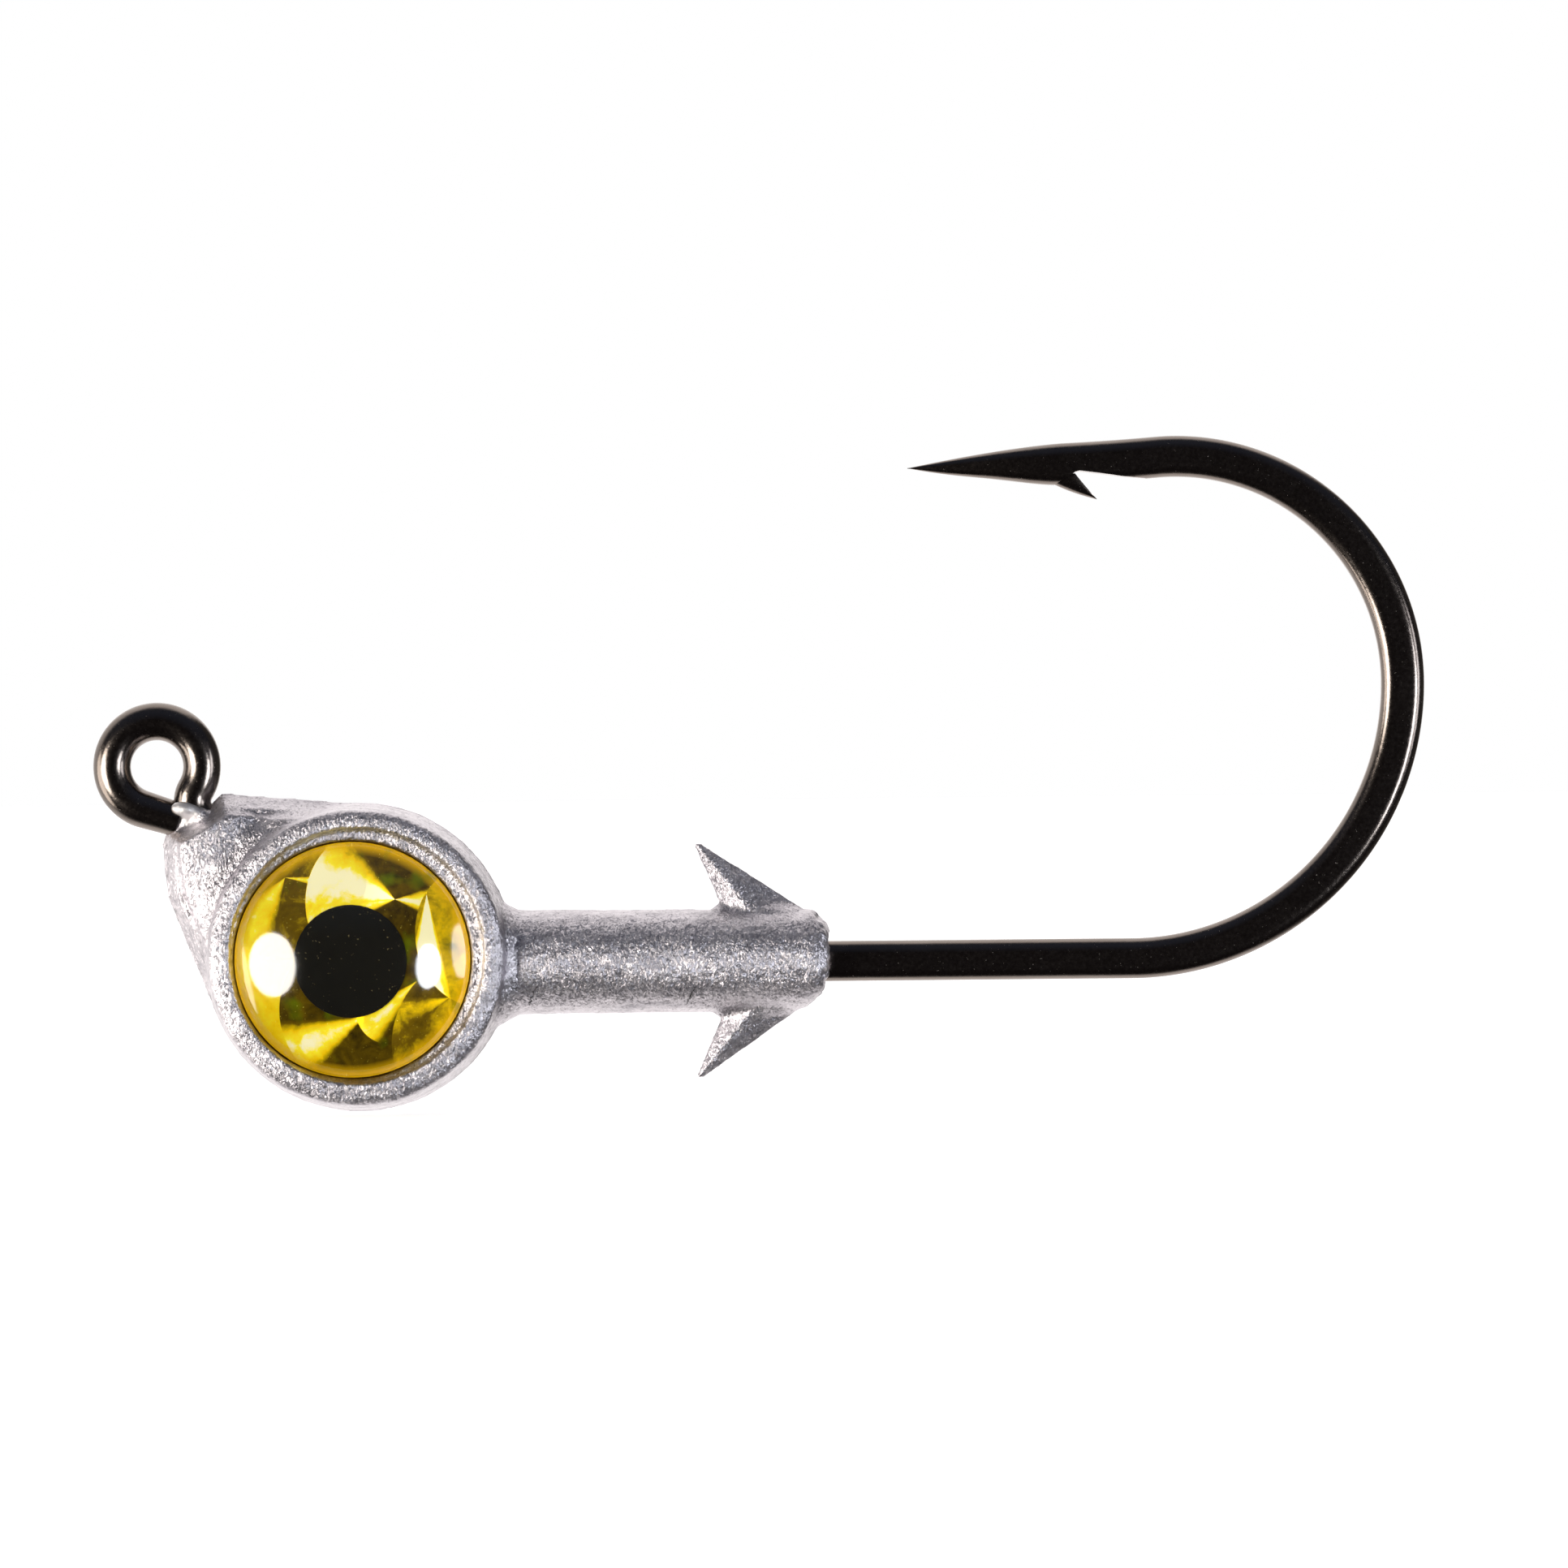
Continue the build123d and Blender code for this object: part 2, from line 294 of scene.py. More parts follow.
def wire_path():
    """The centreline of the bent wire in XZ from the line eye's free end to the point, and the index of
    the last point of each of its stretches."""
    along = np.array([math.cos(math.radians(ARM_ANGLE)), -math.sin(math.radians(ARM_ANGLE))])
    across = np.array([-along[1], along[0]])
    neck = along * NECK_ALONG_ARM + across * (ARM_OFFSET + NECK_R)
    turn = math.degrees(math.atan2(ARM_OFFSET + NECK_R, NECK_ALONG_ARM))

    ring = arc((0, 0), RING_R, RING_END - ARM_ANGLE, turn - ARM_ANGLE)
    tail_direction = ring[0] - ring[1]
    tail = segment(ring[0] + tail_direction / np.linalg.norm(tail_direction) * RING_TAIL, ring[0])
    curl = arc(neck, NECK_R, 180 + turn - ARM_ANGLE, 270 - ARM_ANGLE)
    start = along * NECK_ALONG_ARM + across * ARM_OFFSET
    corner = start + along * (start[1] - SHANK_Z) / -along[1]
    setback = ARM_BEND_R * math.tan(math.radians(ARM_ANGLE / 2))
    bend_start = corner - along * setback
    bend_end = corner + np.array([setback, 0.0])
    bend_centre = bend_end + np.array([0.0, ARM_BEND_R])
    arm = segment(start, bend_start)
    elbow = arc(bend_centre, ARM_BEND_R, 270 - ARM_ANGLE, 270)
    shank = segment(bend_end, (BEND_X, SHANK_Z))
    bend_z = SHANK_Z + LOWER_BEND_R
    upper_x = BEND_X + LOWER_BEND_R - UPPER_BEND_R
    lower = arc((BEND_X, bend_z), LOWER_BEND_R, -90, 0)
    upper = arc((upper_x, bend_z), UPPER_BEND_R, 0, SPEAR_ANGLE)
    spear_start = upper[-1]
    slope = np.array([-math.cos(math.radians(SPEAR_ANGLE - 90)), -math.sin(math.radians(SPEAR_ANGLE - 90))])
    spear = bezier(spear_start, spear_start + slope * SPEAR_RUN, SPEAR_SAG, (POINT_X, POINT_Z))
    parts = [tail, ring, curl, arm, elbow, shank, lower, upper, spear]
    names = ("tail", "ring", "neck", "arm", "elbow", "shank", "lower", "upper", "spear")
    path = np.concatenate([part if i == 0 else part[1:] for i, part in enumerate(parts)])
    ends = np.cumsum([len(part) - (i > 0) for i, part in enumerate(parts)]) - 1
    return path, dict(zip(names, ends))


def ramp(value, start, stop, low, high):
    """Smooth change from low to high between start and stop."""
    t = np.clip((value - start) / (stop - start), 0, 1)
    return low + (high - low) * t * t * (3 - 2 * t)


def wire_sections(path, ends):
    """Outer reach, inner reach, half thickness and corner radius at each point of the path."""
    steps = np.linalg.norm(np.diff(path, axis=0), axis=1)
    run = np.concatenate([[0], np.cumsum(steps)])
    at = {name: run[index] for name, index in ends.items()}
    forge = ramp(run, at["elbow"] + FORGE_FROM, at["elbow"] + FORGE_TO, 0.0, 1.0)
    bulge = ramp(run, at["shank"], at["lower"], 0, BEND_SWELL)
    bulge -= ramp(run, at["lower"], at["upper"], 0, SPEAR_SHRINK)
    outer = WIRE_R + (FORGED_OUTER - WIRE_R) * forge
    to_point = run[-1] - run
    thin, full, fading, gone = BELLY_STEPS
    belly = ramp(to_point, thin, full, BELLY_THIN, BELLY_FULL)
    belly *= ramp(to_point, 0.0, thin, 0, 1) * ramp(to_point, fading, gone, 1, 0)
    inner = outer + bulge + belly
    thick = WIRE_R + (FORGED_HALF_T - WIRE_R) * forge
    corner = WIRE_R + (FORGED_CORNER - WIRE_R) * forge
    u = np.clip(to_point / TAPER_LENGTH, 0, 1)
    taper = np.clip(1 - (1 - u) ** TAPER_REACH, TIP_HALF / FORGED_OUTER, 1)
    outer = outer * taper
    inner = inner * taper
    thick = thick * taper**TAPER_THICK
    corner = corner * taper**TAPER_CORNER
    inner = inner - ramp(run, at["tail"] + TAIL_TUCK_LENGTH, 0, 0, TAIL_TUCK)
    corner = np.minimum(corner, np.minimum(thick, (outer + inner) / 2) * 0.999)
    return outer, inner, thick, corner


def section_points(outer, inner, thick, corner):
    """A rounded rectangle as (reach, thickness) pairs. Reach is positive on the outer side of the bends."""
    half = (outer + inner) / 2
    shift = (outer - inner) / 2

    def rounded(quarter, degrees):
        """The point at an angle on the rounded corner of a quarter, 0 to 3."""
        side = 1 if quarter in (0, 3) else -1
        face = 1 if quarter in (0, 1) else -1
        angle = math.radians(degrees)
        reach = side * (half - corner) + corner * math.cos(angle)
        return reach, face * (thick - corner) + corner * math.sin(angle)

    points = []
    for quarter in range(4):
        for k in range(CORNER_POINTS):
            points.append(rounded(quarter, 90 * quarter + 90 * k / (CORNER_POINTS - 1)))
        last = points[-1]
        target = rounded((quarter + 1) % 4, 90 * (quarter + 1))
        for k in range(1, FLAT_POINTS + 1):
            t = k / (FLAT_POINTS + 1)
            points.append((last[0] + (target[0] - last[0]) * t, last[1] + (target[1] - last[1]) * t))
    return [(reach + shift, y) for reach, y in points]


def bent_wire():
    """The whole hook wire as one swept skin."""
    path, ends = wire_path()
    outer, inner, thick, corner = wire_sections(path, ends)
    tangents = np.gradient(path, axis=0)
    tangents /= np.linalg.norm(tangents, axis=1)[:, None]
    rings = []
    for i, ((x, z), (tx, tz)) in enumerate(zip(path, tangents)):
        section = section_points(outer[i], inner[i], thick[i], corner[i])
        rings.append([(x + reach * tz, y, z - reach * tx) for reach, y in section])
    return loft("bent_wire", rings)


def barb_cutter():
    """The wedge that is missing between the barb and the spear, and the wire below it, which the barb's
    own sliver replaces. The outline runs from the notch along the spear's underside, back below the
    wire, and up past the barb's root."""
    notch, end = BARB_NOTCH, BARB_CUT_END
    outline = [
        notch,
        (notch[0] + 0.14, notch[1] + 0.035),
        (36.3, 10.93),
        (37.2, 10.80),
        end,
        (end[0], end[1] - 1.2),
        (BARB_TIP[0] - 0.9, 9.4),
        (BARB_ROOT[0] - 0.1, 10.25),
        (34.62, 10.515),
    ]
    front = [(x, -BARB_CUT_REACH, z) for x, z in outline]
    back = [(x, BARB_CUT_REACH, z) for x, z in outline]
    count = len(outline)
    faces = [tuple(range(count)), tuple(range(2 * count - 1, count - 1, -1))]
    for j in range(count):
        after = (j + 1) % count
        faces.append((j, after, count + after, count + j))
    return mesh_from("barb_cutter", front + back, faces)


def barb():
    """The raised sliver: round below like the wire it was cut from, flat on its cut face. Its skin ends
    just short of the tip, where its faces would have no area."""
    root, tip, notch = (np.array(p) for p in (BARB_ROOT, BARB_TIP, BARB_NOTCH))
    inside = notch + np.array(BARB_BURIED)
    rings = []
    for t in np.linspace(0, BARB_LAST, 16):
        bow = math.sin(math.pi * t)
        free = max(0.0, (t - BARB_FREE_FROM) / (1 - BARB_FREE_FROM))
        low = root + (tip - root) * t + np.array(BARB_LOW_BOW) * bow
        high = notch + (tip - notch) * free + np.array(BARB_HIGH_BOW) * bow
        if t < BARB_FREE_FROM:
            buried = inside + (tip - inside) * t
            high = buried + (high - buried) * t / BARB_FREE_FROM
        half = BARB_HALF_T * min(1.0, (1 - t) / (1 - BARB_FREE_FROM)) ** 0.5 + BARB_TIP_HALF_T
        ring = []
        for angle in np.linspace(0, math.pi, 17):
            side = math.copysign(abs(math.cos(angle)) ** 0.75, math.cos(angle))
            drop = math.sin(angle) ** 0.9
            spot = high + (low - high) * drop
            ring.append((spot[0], side * half, spot[1]))
        rings.append(ring)
    return loft("barb", rings)


def hook_piece(material):
    """The swept wire with the barb's wedge cut out and the barb put in."""
    wire = bent_wire()
    wire = combined(wire, barb_cutter(), "DIFFERENCE")
    wire = one_shell(combined(wire, barb(), "UNION"))
    wire.shade_smooth()
    wire.set_sharp_from_angle(angle=math.radians(20))
    return add_piece("bent_hook", wire, material, ["hook"])


# ---------------------------------------------------------------- lead head


def channel_plug():
    """Fills the wire's channel inside the lead, from inside the nose to inside the collar's end."""
    path, ends = wire_path()
    inside = (path[:, 1] < CHANNEL_TOP_Z) & (path[:, 0] < CHANNEL_END_X)
    inside &= np.arange(len(path)) > ends["ring"]
    angles = np.linspace(0, 2 * math.pi, 17)[:-1]
    rings = []
    for x, z in path[inside]:
        rings.append([(x, CHANNEL_R * math.cos(a), z + CHANNEL_R * math.sin(a)) for a in angles])
    return loft("channel_plug", rings)


def blob(centre, size, tilt):
    """A small rounded lump of lead, tilted in the XZ plane."""
    turn = Matrix.Rotation(-math.radians(tilt), 3, "Y")
    shape = bmesh.new()
    bmesh.ops.create_icosphere(shape, subdivisions=3, radius=1.0)
    for vertex in shape.verts:
        vertex.co = Vector(centre) + turn @ Vector(s * v for s, v in zip(size, vertex.co))
    mesh = bpy.data.meshes.new("blob")
    shape.to_mesh(mesh)
    shape.free()
    return mesh


def keeper_webs():
    """The rounded corners where the keepers' front edges leave the collar."""
    x, reach = KEEPER_WEB
    webs = []
    for side in (1, -1):
        webs.append(blob((x, 0, COLLAR_Z + side * reach), KEEPER_WEB_SIZE, side * KEEPER_WEB_TILT))
    return webs


def grain_height(point):
    """Height of the cast surface's grain at a point, in millimetres."""
    p = Vector(point)
    height = GRAIN_SINK
    for scale, shift, strength in GRAIN_LAYERS:
        height += strength * noise.noise(p * scale + Vector(shift))
    return height


def shape_keepers(points):
    """Thins each keeper towards its front and rear edges, which leaves a ridge down its side."""
    x, y, z = points.T
    reach = np.abs(z - COLLAR_Z)
    rise = (reach - KEEPER_ROOT_REACH) / (KEEPER_TIP_REACH - KEEPER_ROOT_REACH)
    front = KEEPER_FRONT_X + (KEEPER_TIP_X - KEEPER_TIP_HALF - KEEPER_FRONT_X) * rise
    back = KEEPER_BACK_X + (KEEPER_TIP_X + KEEPER_TIP_HALF - KEEPER_BACK_X) * rise
    chord = np.clip((x - front) / np.maximum(back - front, 0.05), 0, 1)
    before = KEEPER_FRONT_EDGE + (KEEPER_RIDGE_FULL - KEEPER_FRONT_EDGE) * chord / KEEPER_RIDGE
    after = KEEPER_RIDGE_FULL - KEEPER_REAR_LOSS * (chord - KEEPER_RIDGE) / (1 - KEEPER_RIDGE)
    section = np.minimum(before, after)
    weight = ramp(reach, 1.85, 2.25, 0, 1) * (x > 20.0) * (x < COLLAR_END_X)
    points[:, 1] = y * (1 + (section - 1) * weight)


def shape_nose(points):
    """Crowns the nose across the arm of the hook, and leaves the disc as it is."""
    x, y, z = points.T
    angle = math.radians(ARM_ANGLE)
    across = x * math.sin(angle) + z * math.cos(angle) - ARM_OFFSET
    outside = ramp(np.hypot(x - HEAD_X, z - HEAD_Z), HEAD_R - 0.2, HEAD_R + 0.7, 0, 1) * (x < HEAD_X)
    drop = np.minimum(NOSE_CROWN * across**2, NOSE_CROWN_MOST) * outside * ramp(np.abs(y), 0.9, 1.6, 0, 1)
    points[:, 1] = y - np.sign(y) * drop


def shape_rims(points):
    """The flat ring round each eye cup falls away a little towards the edge of the disc."""
    x, y, z = points.T
    reach = np.hypot(x - HEAD_X, z - HEAD_Z)
    fall = np.maximum(reach - RIM_CREST_R, 0) * RIM_SLOPE
    points[:, 1] = y - np.sign(y) * fall * ramp(np.abs(y), 1.6, 2.5, 0, 1) * (reach < HEAD_R + 0.3)


def shape_collar_end(points):
    """The end of the collar is ragged, dimpled round the wire, with its two corners cut back."""
    x, y, z = points.T
    low = ramp(COLLAR_Z - z, 0.3, 1.8, 0, COLLAR_LOW_CUT)
    high = ramp(z - COLLAR_Z, 1.1, 1.75, 0, COLLAR_HIGH_CUT)
    dimple = ramp(np.hypot(y, z - SHANK_Z), 0.6, 1.3, COLLAR_DIMPLE, 0)
    weight = ramp(x, COLLAR_END_X - 0.9, COLLAR_END_X - 0.1, 0, 1)
    lift = COLLAR_LIFT * ramp(x, 24.3, 25.6, 0, 1) * ramp(COLLAR_Z - z, 1.0, 1.9, 0, 1)
    points[:, 2] = z + lift
    ragged = np.zeros(len(x))
    for i in np.nonzero(weight)[0]:
        spot = Vector((x[i] * 0.6, y[i], z[i]))
        ragged[i] = 0.14 * noise.noise(spot * 1.7) + 0.11 * noise.noise(spot * 4.0) - 0.06
    points[:, 0] = x - (low + high + dimple + ragged) * weight


def head_piece(material):
    """The CAD casting with its channel filled, remeshed evenly, then given its cast surface and details."""
    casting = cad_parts["head_casting"].data.copy()
    casting.transform(Matrix.Scale(1 / MM, 4))
    solid = joined(casting, channel_plug(), *keeper_webs(), *(blob(*lump) for lump in FLASH_LUMPS))
    skin = modified(
        solid,
        ("REMESH", {"mode": "VOXEL", "voxel_size": LEAD_VOXEL}),
        ("SMOOTH", {"factor": 0.5, "iterations": 2}),
    )
    skin = one_shell(skin)
    points = np.empty(len(skin.vertices) * 3)
    normals = np.empty(len(skin.vertices) * 3)
    skin.vertices.foreach_get("co", points)
    skin.vertices.foreach_get("normal", normals)
    points = points.reshape(-1, 3)
    normals = normals.reshape(-1, 3)
    grain = np.array([grain_height(point) for point in points])
    seam = SEAM_HEIGHT * np.exp(-((points[:, 1] / SEAM_HALF_WIDTH) ** 2)) * (1 - normals[:, 1] ** 2)
    points += normals * (grain + seam)[:, None]
    shape_keepers(points)
    shape_nose(points)
    shape_rims(points)
    shape_collar_end(points)
    skin.vertices.foreach_set("co", points.ravel())
    skin.update()
    skin.shade_smooth()
    return add_piece("lead_head", skin, material, ["head_casting"])


# ---------------------------------------------------------------- eyes


def turned(name, profile, centre, side, count=160):
    """A solid of revolution about a line along Y. The profile is (radius, height out of the cup)."""
    x, base, z = centre
    angles = np.linspace(0, 2 * math.pi, count + 1)[:-1]
    rings = []
    for radius, height in profile:
        y = side * (base + height)
        rings.append([(x + radius * math.cos(a), y, z + radius * math.sin(a)) for a in angles])
    return loft(name, rings)


def eye_places(node):
    """Centre in XZ, inner face, outer face and radius of a CAD eye part, in millimetres."""
    low, high = (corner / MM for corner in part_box(node))
    centre = (low + high) / 2
    inner, outer = sorted((abs(low.y), abs(high.y)))
    return centre.x, centre.z, inner, outer, (high.x - low.x) / 2


def dome_piece(side, name, material):
    """The eye's clear dome: a short straight edge with rounded corners under a spherical cap."""
    x, z, base, top, radius = eye_places(f"{name}_eye_dome")
    rise = top - base - DOME_EDGE
    sphere = (radius * radius + rise * rise) / (2 * rise)
    profile = [
        (0.02, -DOME_BURY),
        (radius - DOME_ROUND, -DOME_BURY),
        (radius - 0.03, 0.02),
        (radius, DOME_ROUND),
        (radius, DOME_EDGE - DOME_ROUND),
    ]
    for t in (0.25, 0.5, 0.75, 1.0):
        profile.append((radius - DOME_LEAN * t * t, DOME_EDGE - DOME_ROUND + 0.12 * t))
    first = math.asin(min(1, (radius - DOME_LEAN) / sphere))
    for angle in first * np.linspace(1, 0, 40):
        height = DOME_EDGE + rise - sphere * (1 - math.cos(angle))
        profile.append((max(0.02, sphere * math.sin(angle)), height))
    mesh = turned(f"{name}_dome", profile, (x, base, z), side)
    mesh.shade_smooth()
    return add_piece(f"{name}_eye_lens", mesh, material, [f"{name}_eye_dome"])


# ---------------------------------------------------------------- node materials


# Lens cells of the eye foil, lowest first, in millimetres from the eye's centre: middle and radius
# of the cell, the point its fans spread from, the tone between the fans, and the fans as
# (heading, half angle, strength). The fans are painted highlights, reflections of the lamps painted into the
# colour.
FOIL_GROUND = 0.66
FOIL_TILT = 0.10
FOIL_CELLS = [
    ((-2.45, 3.05), 3.0, (-2.45, 3.05), 0.30, ((236, 26, 0.55), (350, 9, 0.6))),
    ((0.45, -1.95), 3.1, (0.43, -2.00), 0.16, ((207, 24, 0.78), (325, 13, 0.6))),
    ((1.55, 2.15), 3.2, (1.55, 2.15), 0.14, ((163, 42, 0.92), (192, 20, 0.74), (356, 26, 0.9))),
    ((1.45, -1.75), 1.35, (2.35, -0.75), 0.12, ((222, 18, 0.80),)),
    ((4.60, -3.00), 3.2, (3.58, -1.42), 0.18, ((196, 20, 0.30), (265, 60, 0.20))),
    ((5.00, 0.90), 2.75, (2.74, 2.37), 0.45, ((268, 15, 1.0), (100, 30, 0.3))),
]
FOIL_TONES = [
    (0.0, (0.020, 0.012, 0.0)),
    (0.3, (0.12, 0.075, 0.0005)),
    (0.6, (0.80, 0.54, 0.001)),
    (0.88, (1.0, 0.82, 0.03)),
    (1.0, (1.0, 0.96, 0.60)),
]


class Nodes:
    """A short way to write a node tree. Values are numbers, tuples or other nodes' outputs."""

    def __init__(self, tree):
        self.tree = tree

    def add(self, kind, inputs=(), **settings):
        """A new node with its settings made and its inputs filled."""
        node = self.tree.nodes.new(kind)
        for setting, value in settings.items():
            setattr(node, setting, value)
        for socket, value in dict(inputs).items():
            self.put(node, socket, value)
        return node

    def put(self, node, socket, value):
        """Links an output to a node's input, or gives the input a fixed value."""
        if isinstance(value, bpy.types.NodeSocket):
            self.tree.links.new(value, node.inputs[socket])
        else:
            node.inputs[socket].default_value = value

    def surface(self, **inputs):
        """Fills the inputs of a material's main shader. An underscore stands for a space."""
        for socket, value in inputs.items():
            self.put(self.tree.nodes["Principled BSDF"], socket.replace("_", " "), value)

    def math(self, operation, a, b=0.0, c=0.0):
        """One operation on numbers."""
        return self.add("ShaderNodeMath", {0: a, 1: b, 2: c}, operation=operation).outputs[0]

    def vector(self, operation, a, b=(0, 0, 0), c=(0, 0, 0)):
        """One operation on vectors."""
        node = self.add("ShaderNodeVectorMath", {0: a, 1: b, 2: c}, operation=operation)
        return node.outputs["Value" if operation in ("DOT_PRODUCT", "LENGTH", "DISTANCE") else "Vector"]

    def place(self):
        """Object coordinates in millimetres."""
        return self.scaled(self.add("ShaderNodeTexCoord").outputs["Object"], 1 / MM)

    def noise(self, where, scale, detail=2.0, rough=0.5, distort=0.0):
        """Cloudy noise, mostly from 0.3 to 0.7."""
        node = self.add("ShaderNodeTexNoise", {"Vector": where, "Scale": scale, "Detail": detail})
        self.put(node, "Roughness", rough)
        self.put(node, "Distortion", distort)
        return node.outputs["Fac"]

    def crystal_tilt(self, where, scale, amount):
        """A random tilt for each crystal: slight on most of them, strong on a few, which sparkle."""
        colour = self.add("ShaderNodeTexVoronoi", {"Vector": where, "Scale": scale}).outputs["Color"]
        spread = self.vector("MULTIPLY_ADD", colour, (2, 2, 2), (-1, -1, -1))
        square = self.vector("MULTIPLY", spread, spread)
        return self.scaled(self.vector("MULTIPLY", square, spread), amount)

    def crack(self, where, middle):
        """1 inside a short wandering crack across the lower left side of the collar, 0 elsewhere."""
        parts = self.add("ShaderNodeSeparateXYZ", {0: where}).outputs
        along = self.math("SUBTRACT", parts["Z"], middle[1])
        wander = self.math("MULTIPLY_ADD", self.noise(where, 5.0, 3.0), 0.30, -0.15)
        off = self.math("ADD", self.math("SUBTRACT", parts["X"], middle[0]), wander)
        off = self.math("ABSOLUTE", self.math("SUBTRACT", off, self.math("MULTIPLY", along, 0.45)))
        thin = self.remap(off, 0.0, 0.05, 1.0, 0.0)
        short = self.remap(self.math("ABSOLUTE", along), 0.30, 0.42, 1.0, 0.0)
        left = self.remap(parts["Y"], 0.0, 0.1, 1.0, 0.0)
        return self.math("MULTIPLY", self.math("MULTIPLY", thin, short), left)

    def eye_shade_mask(self, where):
        """1 in the narrow gap between an eye and the wall of its cup, where shade is painted on the lead, 0
        elsewhere.
        """
        x, z, _, _, radius = eye_places("left_eye_dome")
        flat = self.vector("MULTIPLY", where, (1, 0, 1))
        reach = self.vector("DISTANCE", flat, (x, 0, z))
        depth = self.math("ABSOLUTE", self.add("ShaderNodeSeparateXYZ", {0: where}).outputs["Y"])
        near = self.remap(reach, radius + 0.06, radius + 0.24, 1.0, 0.0)
        return self.math("MULTIPLY", near, self.remap(depth, 2.3, 2.7, 1.0, 0.0))

    def scaled(self, vector, amount):
        """A vector times a number."""
        return self.add("ShaderNodeVectorMath", {0: vector, 3: amount}, operation="SCALE").outputs["Vector"]

    def remap(self, value, low, high, to_low=0.0, to_high=1.0, kind="LINEAR"):
        """The value carried from the range low to high over to another one, and held at its ends."""
        inputs = {"Value": value, "From Min": low, "From Max": high, "To Min": to_low, "To Max": to_high}
        return self.add("ShaderNodeMapRange", inputs, interpolation_type=kind).outputs["Result"]

    def blend(self, factor, a, b):
        """A colour between a and b."""
        return self.add("ShaderNodeMix", {0: factor, 6: a, 7: b}, data_type="RGBA").outputs[2]

    def mix(self, factor, a, b):
        """A number between a and b."""
        return self.add("ShaderNodeMix", {0: factor, 2: a, 3: b}).outputs[0]

    def spread(self, value):
        """The same number on all three axes."""
        return self.add("ShaderNodeCombineXYZ", {0: value, 1: value, 2: value}).outputs[0]

    def bump(self, height, strength, distance, normal=None):
        """A surface normal bent by a height, over another bent normal if one is given."""
        inputs = {"Height": height, "Strength": strength, "Distance": distance * MM}
        if normal is not None:
            inputs["Normal"] = normal
        return self.add("ShaderNodeBump", inputs).outputs["Normal"]


def new_material(name):
    """A material, and the short way to write its node tree."""
    material = bpy.data.materials.new(name)
    material.use_nodes = True
    return material, Nodes(material.node_tree)


def black_nickel():
    """Black nickel plating on forged steel: smoky, glossy, with handling dust and faint draw marks."""
    material, n = new_material("black_nickel")
    where = n.place()
    cloud = n.noise(where, 0.6, 3.0)
    dust = n.noise(where, 9.0, 4.0, 0.7)
    specks = n.remap(n.noise(where, 11.0, 2.0), 0.70, 0.78, 0.0, 1.0)
    colour = n.blend(cloud, (0.16, 0.135, 0.12, 1), (0.23, 0.20, 0.18, 1))
    colour = n.blend(n.math("MULTIPLY", specks, 0.6), colour, (0.42, 0.38, 0.35, 1))
    rough = n.math("ADD", n.remap(dust, 0.35, 0.75, 0.16, 0.26), n.math("MULTIPLY", specks, 0.35))
    ripples = n.bump(n.noise(where, 2.2, 3.0), 0.12, 0.05)
    pits = n.bump(dust, 0.10, 0.02, ripples)
    n.surface(Base_Color=colour, Metallic=1.0, Roughness=rough, Normal=pits)
    return material


# Cold shuts across the left side of the collar: the middle in XZ
LEAD_CRACKS = [(14.42, -8.88), (20.45, -8.95)]


def bright_lead():
    """Freshly cast lead: silvery crystals that each catch the light, darker oxide in streaks and pits, and
    painted shade round each eye.
    """
    material, n = new_material("bright_lead")
    where = n.place()
    warp = n.noise(where, 6.0, 3.0)
    drawn = n.vector("MULTIPLY", where, (1.25, 1.0, 0.85))
    crystals = n.vector("MULTIPLY", n.crystal_tilt(drawn, 7.5, 0.22), (1.2, 1.0, 0.5))
    small = n.vector("MULTIPLY", n.crystal_tilt(drawn, 15.0, 0.28), (1.2, 1.0, 0.7))
    calm = n.remap(n.vector("DISTANCE", where, FLASH_MIDDLE), 0.45, 0.72, 0.2, 1.0)
    hammered = n.bump(n.noise(where, 2.6, 3.0, 0.55, 0.3), 0.40, 0.12)
    grain = n.bump(n.noise(drawn, 7.5, 4.0, 0.6), calm, 0.056, hammered)
    tilts = n.vector("MULTIPLY", n.vector("ADD", crystals, small), n.spread(calm))
    facets = n.vector("NORMALIZE", n.vector("ADD", grain, tilts))
    streaks = n.vector("MULTIPLY", where, (0.45, 1.0, 1.3))
    oxide = n.remap(n.noise(streaks, 1.3, 6.0, 0.75), 0.45, 0.70, 0.0, 0.85)
    pits = n.remap(n.noise(drawn, 5.0, 4.0, 0.8), 0.54, 0.66, 0.0, 0.85)
    colour = n.blend(oxide, (0.68, 0.65, 0.69, 1), (0.32, 0.305, 0.34, 1))
    colour = n.blend(pits, colour, (0.25, 0.24, 0.26, 1))
    for crack in LEAD_CRACKS:
        colour = n.blend(n.crack(where, crack), colour, (0.03, 0.03, 0.03, 1))
    # Painted shade: a brown ring darkens the lead round each eye, where the cup wall shades it.
    painted_eye_shade = n.math("MULTIPLY", n.eye_shade_mask(where), n.remap(n.noise(where, 2.0, 3.0), 0.3, 0.6, 0.55, 1.0))
    colour = n.blend(painted_eye_shade, colour, (0.10, 0.065, 0.030, 1))
    flash = n.remap(calm, 0.2, 1.0, 1.0, 0.0)
    colour = n.blend(flash, colour, (0.86, 0.84, 0.84, 1))
    rough = n.mix(flash, n.remap(warp, 0.3, 0.7, 0.29, 0.38), 0.58)
    n.surface(Base_Color=colour, Metallic=0.95, Roughness=rough, Normal=facets)
    return material


